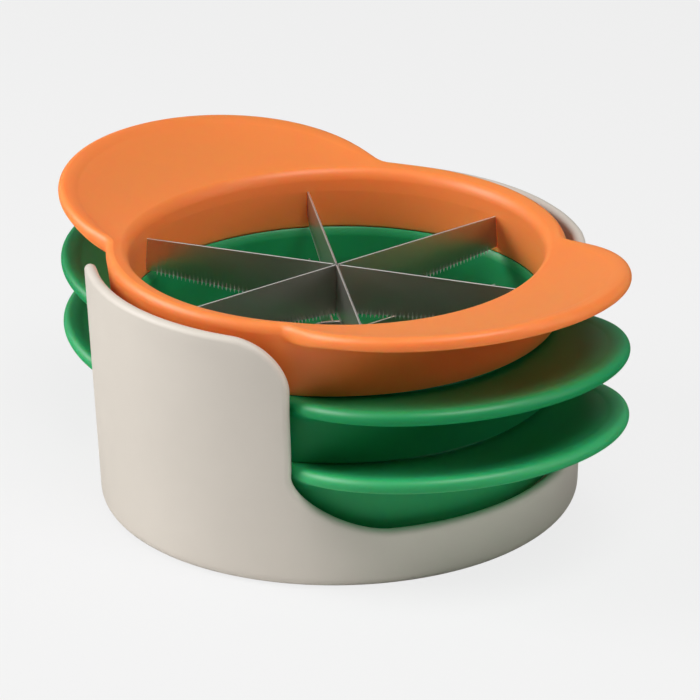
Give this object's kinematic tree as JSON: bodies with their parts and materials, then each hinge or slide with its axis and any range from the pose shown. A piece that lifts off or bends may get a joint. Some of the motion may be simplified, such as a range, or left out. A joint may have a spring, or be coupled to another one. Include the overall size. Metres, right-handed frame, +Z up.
{
  "type": "fruit slicer",
  "caption": "Stack of round fruit slicers in a low caddy: moulded ring frames with two broad handles and thin steel wedge blades, nested one on another.",
  "frame": {"origin": "middle of the caddy's flat underside, on the surface that the set stands on", "axes": "+X along the handles, +Y towards one of the caddy's tall walls, +Z up"},
  "size_m": [0.1866, 0.136, 0.0798],
  "materials": {
    "caddy_plastic": "off-white moulded plastic, fine satin texture",
    "orange_plastic": "orange moulded plastic, satin",
    "dark_green_plastic": "dark green moulded plastic, satin",
    "light_green_plastic": "mid green moulded plastic, satin",
    "blade_steel": "thin stainless steel, finely brushed"
  },
  "bodies": {
    "caddy": {"caddy": "caddy_plastic"},
    "light_green_slicer": {"light_green_frame": "light_green_plastic", "light_green_core_ring": "blade_steel", "light_green_blade_1": "blade_steel", "light_green_blade_2": "blade_steel", "light_green_blade_3": "blade_steel", "light_green_blade_4": "blade_steel", "light_green_blade_5": "blade_steel", "light_green_blade_6": "blade_steel", "light_green_blade_7": "blade_steel", "light_green_blade_8": "blade_steel"},
    "dark_green_slicer": {"dark_green_frame": "dark_green_plastic", "dark_green_core_ring": "blade_steel", "dark_green_blade_1": "blade_steel", "dark_green_blade_2": "blade_steel", "dark_green_blade_3": "blade_steel", "dark_green_blade_4": "blade_steel", "dark_green_blade_5": "blade_steel", "dark_green_blade_6": "blade_steel"},
    "orange_slicer": {"orange_frame": "orange_plastic", "orange_blade_1": "blade_steel", "orange_blade_2": "blade_steel", "orange_blade_3": "blade_steel"}
  },
  "joints": [
    {"name": "light_green_lift", "type": "slide", "parent": "caddy", "child": "light_green_slicer", "axis": [0, 0, 1], "range_m": [0, 0.07]},
    {"name": "dark_green_lift", "type": "slide", "parent": "light_green_slicer", "child": "dark_green_slicer", "axis": [0, 0, 1], "range_m": [0, 0.05]},
    {"name": "orange_lift", "type": "slide", "parent": "dark_green_slicer", "child": "orange_slicer", "axis": [0, 0, 1], "range_m": [0, 0.04]}
  ]
}
